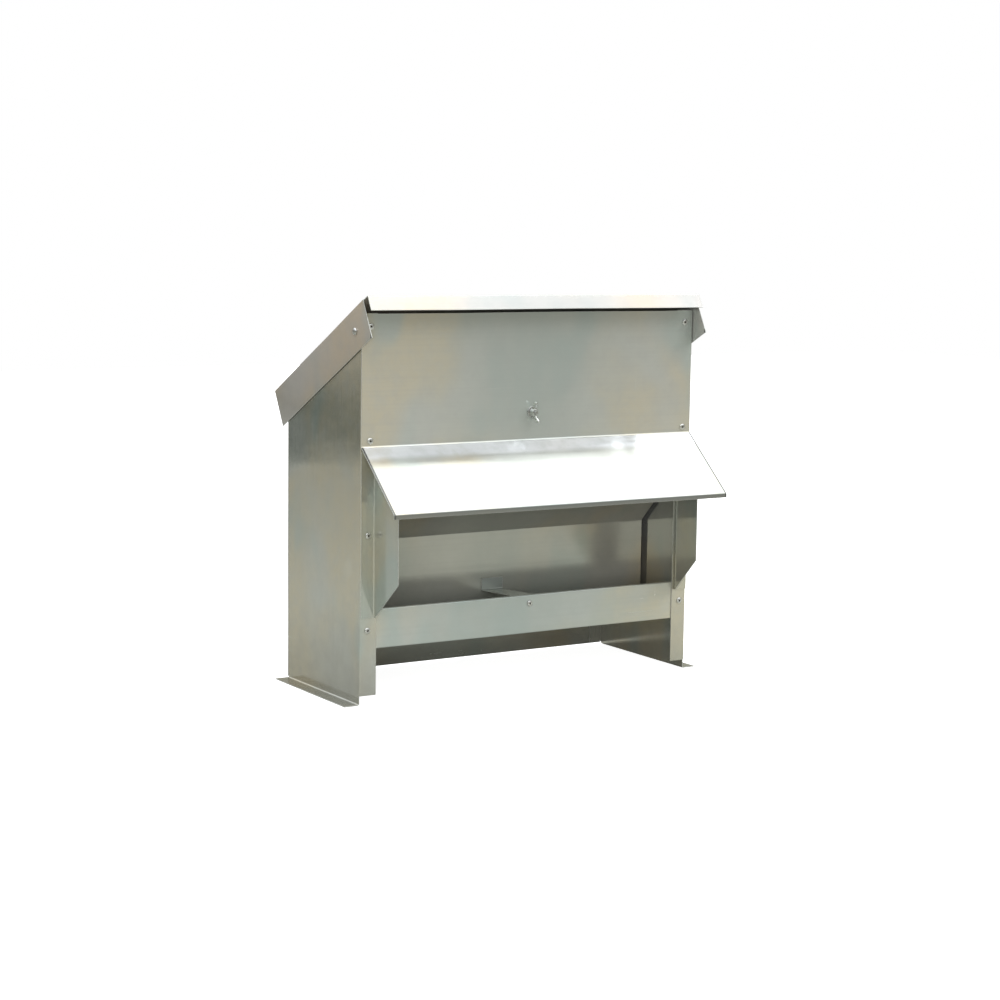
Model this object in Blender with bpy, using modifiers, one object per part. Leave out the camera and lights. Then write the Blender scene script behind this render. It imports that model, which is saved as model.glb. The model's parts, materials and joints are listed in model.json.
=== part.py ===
"""Gravity poultry feeder of folded galvanised sheet.

X runs to the right across the front, Y to the back and Z up, in metres.
Heights are above the ground. Depths are behind the front face of the side panels' flanges.
Feed is poured in under the lid, slides down behind the feed plate and comes out in the trough.
Moving pieces: the lid on its two pivots, the feed plate up and down, and the wing nut that clamps it.
"""
import math

import bmesh
import bpy
from mathutils import Matrix, Vector

# Sheet and fits
SHEET = 0.001                # thickness of every folded sheet
GAP = 0.0003                 # between two pieces that touch
BEND_RADIUS = 0.0015         # outer radius of a square fold
FOLD_SEGMENTS = 4
RELIEF = BEND_RADIUS + 0.0005  # notch where a fold ends
ROUND_SIDES = 16             # sides of a turned piece

# Body
BODY_WIDTH = 0.500           # over the outer faces of the side panels
BODY_DEPTH = 0.200           # of a side panel, front to back
FOOT_WIDTH = 0.020
FRONT_FLANGE = 0.023
REAR_FLANGE = 0.020
FRONT_FLANGE_START = 0.012   # height of the front flange's lower end
REAR_FLANGE_START = 0.0035
BACK_PANEL_START = 0.002     # height of the back panel's lower edge

# Lid
LID_FRONT_HEIGHT = 0.5096    # the lid's front edge, the highest point of the feeder
LID_PITCH = math.radians(27.7)
LID_FRONT_OVERHANG = 0.0152
LID_REAR_OVERHANG = 0.0385
LID_LIP = 0.020
LID_SKIRT = 0.0515
SKIRT_SETBACK = 0.010        # open corner between the front lip and a skirt
LID_SIDE_GAP = 0.001         # skirt to side panel
LID_REST_GAP = 0.0005        # lid to the edges below it
PIVOT_DEPTH = 0.0117
PIVOT_BELOW_LID = 0.0446     # from the lid's front edge down to the pivots

# Front panel and rain hood
HOOD_FOLD_HEIGHT = 0.3242
HOOD_REACH = 0.0845          # forward of the front panel's face
HOOD_DROP = 0.0742
HOOD_LIP = 0.0055

# Trough
TROUGH_RIM_HEIGHT = 0.1205
TROUGH_FACE = 0.050
TROUGH_HEM = 0.006
TROUGH_FLOOR = 0.105         # depth at which the floor turns up
TROUGH_BACK_HEIGHT = 0.150
TROUGH_UPSTAND = 0.020
BRACE_WIDTH = 0.033
BRACE_BELOW_RIM = 0.0015     # at its front end
BRACE_FALL = 0.0045          # from its front end to its rear end
BRACE_FRONT_TAB = 0.016
BRACE_REAR_TAB = 0.0155

# Feed plate
FEED_PLATE_DEPTH = 0.0963    # front face of its lower, vertical part
FEED_OPENING = 0.0235        # trough floor to the plate's lower edge, at rest
FEED_BEND_HEIGHT = 0.193
FEED_PLATE_END_GAP = 0.0052  # to the side panels
FEED_TONGUE_ABOVE_CLAMP = 0.035
FEED_TONGUE_SIDE_GAP = 0.004  # to the front flanges
FEED_NOTCH_DEPTH = 0.012     # the plate narrows to the tongue in front of this depth
FEED_TRAVEL = 0.015          # up and down from rest
BRACE_TO_PLATE = 0.0005

# Side guards
GUARD_REACH = 0.054          # forward of the side panels
GUARD_TOE_IN = 0.0045        # from the fold inwards to the front edge
GUARD_EDGE_START = 0.1575    # height of the lower end of the front edge
GUARD_START = 0.1105         # height of the lower end
GUARD_INSET = 0.019          # side panel's outer face to the guard's outer face
GUARD_LIP_SETBACK = 0.0005   # side panel's outer face to the edge of the guard's lip
GUARD_HOOD_GAP = 0.0007
GUARD_FOLD_END = 0.007       # below the hood's fold

# Blind rivets
RIVET_RADIUS = 0.002
RIVET_HEAD_RADIUS = 0.004
RIVET_HEAD_HEIGHT = 0.0015
RIVET_TAIL_RADIUS = 0.0029
RIVET_TAIL_LENGTH = 0.004
RIVET_BORE_RADIUS = 0.0010   # mouth left by the broken mandrel
RIVET_BORE_DEPTH = 0.0008
PANEL_RIVET_INSET = 0.0125   # side panel's outer face to a rivet
UPPER_RIVET_BELOW_TOP = 0.0155
LOWER_RIVET_ABOVE_FOLD = 0.007
GUARD_RIVET_HEIGHT = 0.214
FLANGE_RIVET_INSET = 0.0105
TROUGH_RIVET_HEIGHT = 0.0944
BRACE_RIVET_BELOW_RIM = 0.0107
BACK_RIVET_INSET = 0.012
BACK_RIVET_MARGIN = 0.028    # from the back panel's lower and upper edges

# Lid pivots, M5
PIVOT_RADIUS = 0.0025
PIVOT_CLEARANCE = 0.0004
PIVOT_HEAD_RADIUS = 0.0046
PIVOT_HEAD_HEIGHT = 0.0030
PIVOT_WASHER_RADIUS = 0.0050
PIVOT_WASHER_THICKNESS = 0.001
PIVOT_NUT_ACROSS_FLATS = 0.008
PIVOT_NUT_HEIGHT = 0.004
PIVOT_THREAD_END = 0.0018    # beyond the nut

# Feed plate clamp, M5
CLAMP_ACROSS = -0.002        # the clamp sits a little left of the middle
CLAMP_ABOVE_FOLD = 0.0348
CLAMP_RADIUS = 0.0025
CLAMP_CLEARANCE = 0.0004
CLAMP_HEAD_RADIUS = 0.0065
CLAMP_HEAD_HEIGHT = 0.0028
INNER_WASHER_RADIUS = 0.0075
OUTER_WASHER_RADIUS = 0.0075
CLAMP_WASHER_THICKNESS = 0.0012
WING_HUB_RADIUS = 0.0053
WING_HUB_TOP_RADIUS = 0.0041
WING_HUB_HEIGHT = 0.0060
WING_SPAN = 0.0285
WING_RISE = 0.0115
WING_THICKNESS = 0.0024
WING_TURN = math.radians(81.0)  # how far the wings are turned from level
CLAMP_THREAD_END = 0.0030    # beyond the wing nut's hub

# Worked out from the sizes above
HALF_WIDTH = BODY_WIDTH / 2.0
INNER_HALF_WIDTH = HALF_WIDTH - SHEET
PANEL_FACE = -(GAP + SHEET)
BEHIND_FLANGE = SHEET + GAP
SHEET_PITCH = SHEET + GAP    # one sheet and the gap to the next
LID_LENGTH = (LID_FRONT_OVERHANG + BODY_DEPTH + LID_REAR_OVERHANG) / math.cos(LID_PITCH)
LID_HALF_WIDTH = HALF_WIDTH + LID_SIDE_GAP + SHEET
PIVOT_HEIGHT = LID_FRONT_HEIGHT - PIVOT_BELOW_LID
PIVOT_TO_LIP_DEPTH = PIVOT_DEPTH + LID_FRONT_OVERHANG
PIVOT_TO_LIP = PIVOT_TO_LIP_DEPTH * math.cos(LID_PITCH) + PIVOT_BELOW_LID * math.sin(LID_PITCH)
PIVOT_TO_TOP = PIVOT_BELOW_LID * math.cos(LID_PITCH) - PIVOT_TO_LIP_DEPTH * math.sin(LID_PITCH)
SWING_RADIUS = PIVOT_TO_TOP - SHEET - LID_REST_GAP  # what stays inside it clears the turning lid
PANEL_TOP = PIVOT_HEIGHT + math.sqrt(SWING_RADIUS ** 2 - (PIVOT_DEPTH - PANEL_FACE) ** 2)
HOOD_SLOPE = math.atan2(HOOD_DROP, HOOD_REACH)
CLAMP_HEIGHT = HOOD_FOLD_HEIGHT + CLAMP_ABOVE_FOLD
TROUGH_BOTTOM = TROUGH_RIM_HEIGHT - TROUGH_FACE
TROUGH_END = BODY_DEPTH - SHEET_PITCH
GUARD_FACE = HALF_WIDTH - GUARD_INSET
BRACE_HEIGHT = TROUGH_RIM_HEIGHT - BRACE_BELOW_RIM
BACK_FACE = BODY_DEPTH + SHEET_PITCH

# The feeder's own origin is on the ground in the middle of its box
REAR_REACH = BODY_DEPTH + LID_REAR_OVERHANG
REAR_REACH -= BEND_RADIUS * (math.cos(LID_PITCH) + math.sin(LID_PITCH) - 1.0)
FRONT_REACH = PANEL_FACE - HOOD_REACH
BOX_CENTRE = (REAR_REACH + FRONT_REACH) / 2.0

GALVANISED = (0.60, 0.61, 0.57)
BRIGHT = (0.72, 0.72, 0.70)
ZINC_PLATED = (0.55, 0.56, 0.58)


def clear_scene():
    for item in list(bpy.data.objects):
        bpy.data.objects.remove(item, do_unlink=True)


def add_collection(name):
    group = bpy.data.collections.new(name)
    bpy.context.scene.collection.children.link(group)
    return group


def add_empty(name, location, rotation=(0.0, 0.0, 0.0), parent=None):
    empty = bpy.data.objects.new(name, None)
    empty.location = location
    empty.rotation_euler = rotation
    empty.parent = parent
    empty.empty_display_size = 0.05
    feeder.objects.link(empty)
    return empty


def metal(name, colour, roughness):
    finish = bpy.data.materials.new(name)
    finish.use_nodes = True
    shader = finish.node_tree.nodes["Principled BSDF"]
    shader.inputs["Base Color"].default_value = (*colour, 1.0)
    shader.inputs["Roughness"].default_value = roughness
    shader.inputs["Metallic"].default_value = 1.0
    return finish


def add_part(name, mesh, colour, roughness, location=(0.0, 0.0, 0.0), rotation=(0.0, 0.0, 0.0), parent=None):
    part = bpy.data.objects.new(name, mesh)
    part.location = location
    part.rotation_euler = rotation
    part.parent = parent or ground
    feeder.objects.link(part)
    if not mesh.materials:
        mesh.materials.append(metal(name, colour, roughness))
    return part


def add_cutter(name, bm, location, rotation=(0.0, 0.0, 0.0), parent=None):
    mesh = bpy.data.meshes.new(name)
    bm.to_mesh(mesh)
    bm.free()
    cutter = bpy.data.objects.new(name, mesh)
    cutter.location = location
    cutter.rotation_euler = rotation
    cutter.parent = parent or ground
    cutter.display_type = "WIRE"
    cutter.hide_render = True
    cutters.objects.link(cutter)
    return cutter


def cut(part, cutter, operation="DIFFERENCE"):
    """Cut or join two closed solids. The exact solver leaves a hole's wall open at some body widths."""
    step = part.modifiers.new(cutter.name, "BOOLEAN")
    step.object = cutter
    step.operation = operation
    step.solver = "MANIFOLD"


def moved_vertices(swept):
    return [item for item in swept["geom"] if isinstance(item, bmesh.types.BMVert)]


def folded_sheet(name, bm, face, outward, colour=GALVANISED, roughness=0.35, **placing):
    """Round the folds of an open surface and give it its thickness.

    The surface is the side of the sheet on which the given face looks outward.
    """
    bmesh.ops.recalc_face_normals(bm, faces=bm.faces)
    if face.normal.dot(Vector(outward)) < 0.0:
        bmesh.ops.reverse_faces(bm, faces=bm.faces)
    mesh = bpy.data.meshes.new(name)
    bm.to_mesh(mesh)
    bm.free()
    part = add_part(name, mesh, colour, roughness, **placing)
    folds = part.modifiers.new("folds", "BEVEL")
    folds.width = BEND_RADIUS
    folds.segments = FOLD_SEGMENTS
    folds.limit_method = "ANGLE"
    folds.angle_limit = math.radians(20.0)
    wall = part.modifiers.new("wall", "SOLIDIFY")
    wall.thickness = SHEET
    wall.offset = -1.0
    wall.use_even_offset = True
    return part


def section_sheet(name, section, half_width, outward, **placing):
    """A sheet with the same folded section, given as depths and heights, from side to side.

    Its thickness lies behind the section, where outward is the front of the section's first stretch.
    """
    bm = bmesh.new()
    corners = [bm.verts.new((-half_width, depth, height)) for depth, height in section]
    edges = [bm.edges.new(pair) for pair in zip(corners, corners[1:])]
    swept = bmesh.ops.extrude_edge_only(bm, edges=edges)
    bmesh.ops.translate(bm, verts=moved_vertices(swept), vec=(2.0 * half_width, 0.0, 0.0))
    first_face = corners[0].link_faces[0]
    return folded_sheet(name, bm, first_face, outward, **placing)


def flat_plate(outline):
    """One flat face, its mesh and its corners, in the outline's order."""
    bm = bmesh.new()
    corners = [bm.verts.new(point) for point in outline]
    face = bm.faces.new(corners)
    return bm, face, corners


def fold_edge(bm, start, end, direction):
    """Turn a flange over the edge between two corners."""
    edge = bm.edges.get((start, end))
    swept = bmesh.ops.extrude_edge_only(bm, edges=[edge])
    bmesh.ops.translate(bm, verts=moved_vertices(swept), vec=direction)


def turned_mesh(name, profile, closed=False):
    """A solid of revolution about Z from (radius, height) points that run down its outer side."""
    mesh = bpy.data.meshes.new(name)
    count = len(profile)
    edges = [(i, i + 1) for i in range(count - 1)]
    if closed:
        edges.append((count - 1, 0))
    mesh.from_pydata([(radius, 0.0, height) for radius, height in profile], edges, [])
    blank = bpy.data.objects.new(name + "_blank", mesh)
    cutters.objects.link(blank)
    spin = blank.modifiers.new("spin", "SCREW")
    spin.axis = "Z"
    spin.angle = 2.0 * math.pi
    spin.steps = ROUND_SIDES
    spin.render_steps = ROUND_SIDES
    spin.use_merge_vertices = True
    spin.merge_threshold = 0.00001
    bpy.context.view_layer.update()
    solid = bpy.data.meshes.new_from_object(blank.evaluated_get(bpy.context.evaluated_depsgraph_get()))
    bpy.data.objects.remove(blank, do_unlink=True)
    solid.shade_smooth()
    solid.set_sharp_from_angle(angle=math.radians(35.0))
    return solid


def dome(radius, height, inner_radius, steps=4):
    """Points over a low dome, from the inner radius at the top out to the rim at height 0."""
    start = math.acos(inner_radius / radius)
    angles = [start * (1.0 - i / steps) for i in range(steps + 1)]
    return [(radius * math.cos(a), height * math.sin(a) / math.sin(start)) for a in angles]


def cylinder(radius, length):
    bm = bmesh.new()
    bmesh.ops.create_cone(
        bm, cap_ends=True, segments=ROUND_SIDES, radius1=radius, radius2=radius, depth=length)
    return bm


def box(size):
    bm = bmesh.new()
    bmesh.ops.create_cube(bm, size=1.0, matrix=Matrix.Diagonal((*size, 1.0)))
    return bm


ALONG_Y = (math.pi / 2.0, 0.0, 0.0)      # turns +Z to the front
ALONG_Y_BACK = (-math.pi / 2.0, 0.0, 0.0)  # turns +Z to the back
ALONG_X = (0.0, math.pi / 2.0, 0.0)      # turns +Z to the right


def under_lid(depth):
    """Height of the line just under the closed lid."""
    at_pivot = PIVOT_HEIGHT + SWING_RADIUS / math.cos(LID_PITCH)
    return at_pivot - (depth - PIVOT_DEPTH) * math.tan(LID_PITCH)


def side_panel(name, side):
    """Wall with a flange to the inside at the front and the back and a foot to the outside."""
    corner_start = LID_PITCH
    corner_end = -math.asin(PIVOT_DEPTH / SWING_RADIUS)
    corner_steps = 8
    outline = [
        (RELIEF, SHEET),
        (BODY_DEPTH - RELIEF, SHEET),
        (BODY_DEPTH - RELIEF, REAR_FLANGE_START),
        (BODY_DEPTH, REAR_FLANGE_START),
        (BODY_DEPTH, under_lid(BODY_DEPTH)),
    ]
    for i in range(corner_steps + 1):
        turn = corner_start + (corner_end - corner_start) * i / corner_steps
        depth = PIVOT_DEPTH + SWING_RADIUS * math.sin(turn)
        outline.append((max(depth, 0.0), PIVOT_HEIGHT + SWING_RADIUS * math.cos(turn)))
    outline += [(0.0, FRONT_FLANGE_START), (RELIEF, FRONT_FLANGE_START)]
    bm, face, corners = flat_plate([(side * HALF_WIDTH, depth, height) for depth, height in outline])
    fold_edge(bm, corners[0], corners[1], (side * FOOT_WIDTH, 0.0, 0.0))
    fold_edge(bm, corners[3], corners[4], (-side * REAR_FLANGE, 0.0, 0.0))
    fold_edge(bm, corners[-3], corners[-2], (-side * FRONT_FLANGE, 0.0, 0.0))
    return folded_sheet(name, bm, face, (side, 0.0, 0.0))


def front_panel():
    """Panel and rain hood, folded from one sheet, over the side panels' front flanges."""
    hood_edge = HOOD_FOLD_HEIGHT - HOOD_DROP
    section = [
        (PANEL_FACE, PANEL_TOP),
        (PANEL_FACE, HOOD_FOLD_HEIGHT),
        (FRONT_REACH, hood_edge),
        (FRONT_REACH, hood_edge - HOOD_LIP),
    ]
    return section_sheet("front_panel", section, HALF_WIDTH, (0.0, -1.0, 0.0), colour=BRIGHT)


def back_panel():
    section = [
        (BACK_FACE, BACK_PANEL_START),
        (BACK_FACE, under_lid(BACK_FACE)),
    ]
    return section_sheet("back_panel", section, HALF_WIDTH, (0.0, 1.0, 0.0))


def trough_pan():
    """Face behind the front flanges, floor, and a slope up to the rear flanges."""
    section = [
        (BEHIND_FLANGE + TROUGH_HEM, TROUGH_RIM_HEIGHT),
        (BEHIND_FLANGE, TROUGH_RIM_HEIGHT),
        (BEHIND_FLANGE, TROUGH_BOTTOM),
        (TROUGH_FLOOR, TROUGH_BOTTOM),
        (TROUGH_END, TROUGH_BACK_HEIGHT),
        (TROUGH_END, TROUGH_BACK_HEIGHT + TROUGH_UPSTAND),
    ]
    return section_sheet("trough_pan", section, INNER_HALF_WIDTH - GAP, (0.0, 0.0, 1.0))


def trough_brace():
    """Strip that falls from the trough's face to the feed plate, with a tab at each end."""
    front = BEHIND_FLANGE + SHEET_PITCH
    rear = FEED_PLATE_DEPTH - BRACE_TO_PLATE - SHEET
    rear_height = BRACE_HEIGHT - BRACE_FALL
    section = [
        (front, BRACE_HEIGHT - BRACE_FRONT_TAB),
        (front, BRACE_HEIGHT),
        (rear, rear_height),
        (rear, rear_height + BRACE_REAR_TAB),
    ]
    return section_sheet("trough_brace", section, BRACE_WIDTH / 2.0, (0.0, -1.0, 0.0))


def feed_plate(slide):
    """Plate that meters the feed: vertical at the trough, sloping forward, vertical at the clamp."""
    floor = TROUGH_BOTTOM + SHEET
    tongue_top = CLAMP_HEIGHT + FEED_TONGUE_ABOVE_CLAMP
    section = [
        (FEED_PLATE_DEPTH, floor + FEED_OPENING),
        (FEED_PLATE_DEPTH, FEED_BEND_HEIGHT),
        (0.0, FEED_BEND_HEIGHT + FEED_PLATE_DEPTH),
        (0.0, tongue_top),
    ]
    half_width = INNER_HALF_WIDTH - FEED_PLATE_END_GAP
    plate = section_sheet(
        "feed_plate", section, half_width, (0.0, -1.0, 0.0),
        location=(0.0, 0.0, -CLAMP_HEIGHT), parent=slide)
    tongue_half_width = HALF_WIDTH - FRONT_FLANGE - FEED_TONGUE_SIDE_GAP
    notch_bottom = FEED_BEND_HEIGHT + FEED_PLATE_DEPTH - FEED_NOTCH_DEPTH
    notch_top = tongue_top + SHEET
    for name, side in (("left", -1.0), ("right", 1.0)):
        width = half_width - tongue_half_width + SHEET
        size = (width, 2.0 * FEED_NOTCH_DEPTH, notch_top - notch_bottom)
        centre = (side * (tongue_half_width + width / 2.0), 0.0, (notch_top + notch_bottom) / 2.0)
        cut(plate, add_cutter("tongue_notch_" + name, box(size), centre))
    slot_radius = CLAMP_RADIUS + CLAMP_CLEARANCE
    slot = box((2.0 * slot_radius, 4.0 * SHEET, 2.0 * FEED_TRAVEL))
    slot_centre = (CLAMP_ACROSS, SHEET / 2.0, CLAMP_HEIGHT)
    cut(plate, add_cutter("feed_slot", slot, slot_centre))
    for name, end in (("lower", -1.0), ("upper", 1.0)):
        end_centre = (CLAMP_ACROSS, SHEET / 2.0, CLAMP_HEIGHT + end * FEED_TRAVEL)
        cut(plate, add_cutter("feed_slot_" + name, cylinder(slot_radius, 4.0 * SHEET), end_centre, ALONG_Y))
    return plate


def side_guard(name, side):
    """Plate that stands forward beside the feeding mouth, toed in, with a lip over the front flange."""
    lip_width = GUARD_INSET - GUARD_LIP_SETBACK
    hood_under = GUARD_HOOD_GAP + SHEET / math.cos(HOOD_SLOPE)
    fold_top = HOOD_FOLD_HEIGHT - GUARD_FOLD_END

    def across(depth):
        forward = (PANEL_FACE - depth) / (PANEL_FACE + GUARD_REACH)
        return side * (GUARD_FACE - forward * GUARD_TOE_IN)

    def below_hood(depth):
        return HOOD_FOLD_HEIGHT + (depth - PANEL_FACE) * math.tan(HOOD_SLOPE) - hood_under

    hood_meets = PANEL_FACE - (HOOD_FOLD_HEIGHT - hood_under - fold_top) / math.tan(HOOD_SLOPE)
    outline = [
        (PANEL_FACE, GUARD_START),
        (PANEL_FACE, fold_top),
        (hood_meets, fold_top),
        (-GUARD_REACH, below_hood(-GUARD_REACH)),
        (-GUARD_REACH, GUARD_EDGE_START),
        (PANEL_FACE - RELIEF, GUARD_START),
    ]
    bm, face, corners = flat_plate([(across(depth), depth, height) for depth, height in outline])
    fold_edge(bm, corners[0], corners[1], (side * lip_width, 0.0, 0.0))
    return folded_sheet(name, bm, face, (side, 0.0, 0.0))


def lid(pivot):
    """Top, front lip, rear lip and two skirts, in a frame that lies in the lid with the pivots at 0."""
    front = -PIVOT_TO_LIP
    rear = LID_LENGTH - PIVOT_TO_LIP
    outer = LID_HALF_WIDTH
    inner = LID_HALF_WIDTH - RELIEF
    skirt_front = front + SKIRT_SETBACK
    skirt_rear = rear - RELIEF
    right = [
        (inner, front),
        (inner, skirt_front),
        (outer, skirt_front),
        (outer, skirt_rear),
        (inner, skirt_rear),
        (inner, rear),
    ]
    left = [(-across, along) for across, along in reversed(right)]
    bm, face, corners = flat_plate([(across, along, PIVOT_TO_TOP) for across, along in right + left])
    fold_edge(bm, corners[2], corners[3], (0.0, 0.0, -LID_SKIRT))
    fold_edge(bm, corners[-3], corners[-4], (0.0, 0.0, -LID_SKIRT))
    fold_edge(bm, corners[0], corners[-1], (0.0, 0.0, -LID_LIP))
    fold_edge(bm, corners[5], corners[6], (0.0, 0.0, -LID_LIP))
    return folded_sheet("lid", bm, face, (0.0, 0.0, 1.0), colour=BRIGHT, parent=pivot)


rivet_meshes = {}


def rivet_mesh(grip):
    """A set blind rivet: domed head with the mandrel's mouth, shank, and the bulb behind the sheets."""
    if grip not in rivet_meshes:
        tail = -(grip + 2.0 * GAP)
        head = dome(RIVET_HEAD_RADIUS, RIVET_HEAD_HEIGHT, RIVET_BORE_RADIUS)
        profile = [(0.0, RIVET_HEAD_HEIGHT - RIVET_BORE_DEPTH)]
        profile.append((RIVET_BORE_RADIUS * 0.8, RIVET_HEAD_HEIGHT - RIVET_BORE_DEPTH))
        profile += head
        profile += [
            (RIVET_RADIUS, 0.0),
            (RIVET_RADIUS, tail),
            (RIVET_TAIL_RADIUS, tail),
            (RIVET_TAIL_RADIUS * 0.9, tail - RIVET_TAIL_LENGTH * 0.7),
            (0.0, tail - RIVET_TAIL_LENGTH),
        ]
        rivet_meshes[grip] = turned_mesh("rivet", profile)
    return rivet_meshes[grip]


def rivet(name, across, height, face, sheets, to_back=False):
    """Set a rivet through the sheets, the outermost first, and drill them for it."""
    grip = len(sheets) * SHEET_PITCH - GAP
    outward = 1.0 if to_back else -1.0
    location = (across, face + outward * GAP, height)
    rotation = ALONG_Y_BACK if to_back else ALONG_Y
    add_part(name, rivet_mesh(grip), ZINC_PLATED, 0.3, location, rotation)
    hole = cylinder(RIVET_RADIUS + GAP, grip + 4.0 * GAP)
    centre = (across, face - outward * grip / 2.0, height)
    cutter = add_cutter(name + "_hole", hole, centre, ALONG_Y)
    for sheet in sheets:
        cut(sheet, cutter)


def hex_nut(name, across_flats, height, bore, location, rotation):
    bm = bmesh.new()
    corner = across_flats / math.sqrt(3.0)
    bmesh.ops.create_cone(bm, cap_ends=True, segments=6, radius1=corner, radius2=corner, depth=height)
    mesh = bpy.data.meshes.new(name)
    bm.to_mesh(mesh)
    bm.free()
    nut = add_part(name, mesh, ZINC_PLATED, 0.3, location, rotation)
    cut(nut, add_cutter(name + "_bore", cylinder(bore, 2.0 * height), location, rotation))


def washer_mesh(name, outer, inner, thickness):
    half = thickness / 2.0
    return turned_mesh(name, [(outer, half), (outer, -half), (inner, -half), (inner, half)], closed=True)


def lid_pivot(name, side, panel, lid_part, pivot):
    """Bolt through skirt and side panel, with its washer and nut inside."""
    turn = (0.0, side * math.pi / 2.0, 0.0)
    hole = cylinder(PIVOT_RADIUS + PIVOT_CLEARANCE, 8.0 * SHEET)
    hole_centre = (side * HALF_WIDTH, PIVOT_DEPTH, PIVOT_HEIGHT)
    cut(panel, add_cutter("pivot_hole_panel_" + name, hole, hole_centre, ALONG_X))
    skirt_hole = cylinder(PIVOT_RADIUS + PIVOT_CLEARANCE, 8.0 * SHEET)
    cut(lid_part, add_cutter(
        "pivot_hole_skirt_" + name, skirt_hole, (side * LID_HALF_WIDTH, 0.0, 0.0), ALONG_X, pivot))

    def across(distance):
        return (side * distance, PIVOT_DEPTH, PIVOT_HEIGHT)

    under_head = LID_HALF_WIDTH + GAP
    washer_middle = INNER_HALF_WIDTH - GAP - PIVOT_WASHER_THICKNESS / 2.0
    nut_middle = washer_middle - PIVOT_WASHER_THICKNESS / 2.0 - GAP - PIVOT_NUT_HEIGHT / 2.0
    thread_end = nut_middle - PIVOT_NUT_HEIGHT / 2.0 - PIVOT_THREAD_END
    shank = under_head - thread_end
    profile = dome(PIVOT_HEAD_RADIUS, PIVOT_HEAD_HEIGHT, 0.0)
    profile += [(PIVOT_RADIUS, 0.0), (PIVOT_RADIUS, -shank), (0.0, -shank)]
    bolt = turned_mesh("pivot_bolt", profile)
    washer = washer_mesh(
        "pivot_washer", PIVOT_WASHER_RADIUS, PIVOT_RADIUS + GAP, PIVOT_WASHER_THICKNESS)
    add_part("pivot_bolt_" + name, bolt, ZINC_PLATED, 0.3, across(under_head), turn)
    add_part("pivot_washer_" + name, washer, ZINC_PLATED, 0.3, across(washer_middle), turn)
    hex_nut(
        "pivot_nut_" + name, PIVOT_NUT_ACROSS_FLATS, PIVOT_NUT_HEIGHT, PIVOT_RADIUS + GAP,
        across(nut_middle), turn)


def wing_blank():
    """Outline of the two wings in the plane of the nut's axis, one closed plate through the hub."""
    reach = WING_SPAN / 2.0
    one_side = [
        (0.0, 0.0016),
        (0.40 * reach, 0.0016),
        (0.90 * reach, 0.45 * WING_RISE),
        (1.00 * reach, 0.75 * WING_RISE),
        (0.93 * reach, 0.97 * WING_RISE),
        (0.76 * reach, 1.00 * WING_RISE),
        (0.58 * reach, 0.80 * WING_RISE),
        (0.30 * reach, WING_HUB_HEIGHT - 0.0010),
        (0.0, WING_HUB_HEIGHT - 0.0010),
    ]
    other_side = [(-across, along) for across, along in reversed(one_side[1:-1])]
    bm = bmesh.new()
    points = one_side + other_side
    half = WING_THICKNESS / 2.0
    face = bm.faces.new([bm.verts.new((across, -half, along)) for across, along in points])
    swept = bmesh.ops.extrude_face_region(bm, geom=[face])
    bmesh.ops.translate(bm, verts=moved_vertices(swept), vec=(0.0, WING_THICKNESS, 0.0))
    bmesh.ops.recalc_face_normals(bm, faces=bm.faces)
    return bm


def wing_nut(seat):
    """Hub and wings in one piece, turning about its own origin on the bolt's axis."""
    location = (CLAMP_ACROSS, seat, CLAMP_HEIGHT)
    turn = (math.pi / 2.0, WING_TURN, 0.0)
    profile = [
        (0.0, WING_HUB_HEIGHT),
        (WING_HUB_TOP_RADIUS, WING_HUB_HEIGHT),
        (WING_HUB_RADIUS, 0.0),
        (0.0, 0.0),
    ]
    nut = add_part("wing_nut", turned_mesh("wing_nut", profile), ZINC_PLATED, 0.35, location, turn)
    cut(nut, add_cutter("wings", wing_blank(), location, turn), "UNION")
    bore = cylinder(CLAMP_RADIUS + GAP, 4.0 * WING_HUB_HEIGHT)
    cut(nut, add_cutter("wing_nut_bore", bore, location, turn))


def feed_clamp(panel):
    """Carriage bolt from the inside, a washer each side, and the wing nut at the front."""
    axis = (CLAMP_ACROSS, PANEL_FACE, CLAMP_HEIGHT)
    cut(panel, add_cutter("clamp_hole", cylinder(CLAMP_RADIUS + CLAMP_CLEARANCE, 6.0 * SHEET), axis, ALONG_Y))
    inner_middle = SHEET_PITCH + CLAMP_WASHER_THICKNESS / 2.0
    head_seat = SHEET_PITCH + CLAMP_WASHER_THICKNESS + GAP
    outer_middle = PANEL_FACE - GAP - CLAMP_WASHER_THICKNESS / 2.0
    nut_seat = PANEL_FACE - CLAMP_WASHER_THICKNESS - 2.0 * GAP
    thread_end = nut_seat - WING_HUB_HEIGHT - CLAMP_THREAD_END
    shank = head_seat - thread_end
    bore = CLAMP_RADIUS + GAP
    profile = dome(CLAMP_HEAD_RADIUS, CLAMP_HEAD_HEIGHT, 0.0)
    profile += [(CLAMP_RADIUS, 0.0), (CLAMP_RADIUS, -shank), (0.0, -shank)]
    add_part(
        "feed_bolt", turned_mesh("feed_bolt", profile), ZINC_PLATED, 0.3,
        (CLAMP_ACROSS, head_seat, CLAMP_HEIGHT), ALONG_Y_BACK)
    washers = (
        ("feed_washer_inner", INNER_WASHER_RADIUS, inner_middle),
        ("feed_washer_outer", OUTER_WASHER_RADIUS, outer_middle),
    )
    for name, radius, middle in washers:
        ring = washer_mesh(name, radius, bore, CLAMP_WASHER_THICKNESS)
        add_part(name, ring, ZINC_PLATED, 0.3, (CLAMP_ACROSS, middle, CLAMP_HEIGHT), ALONG_Y)
    wing_nut(nut_seat)


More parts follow.
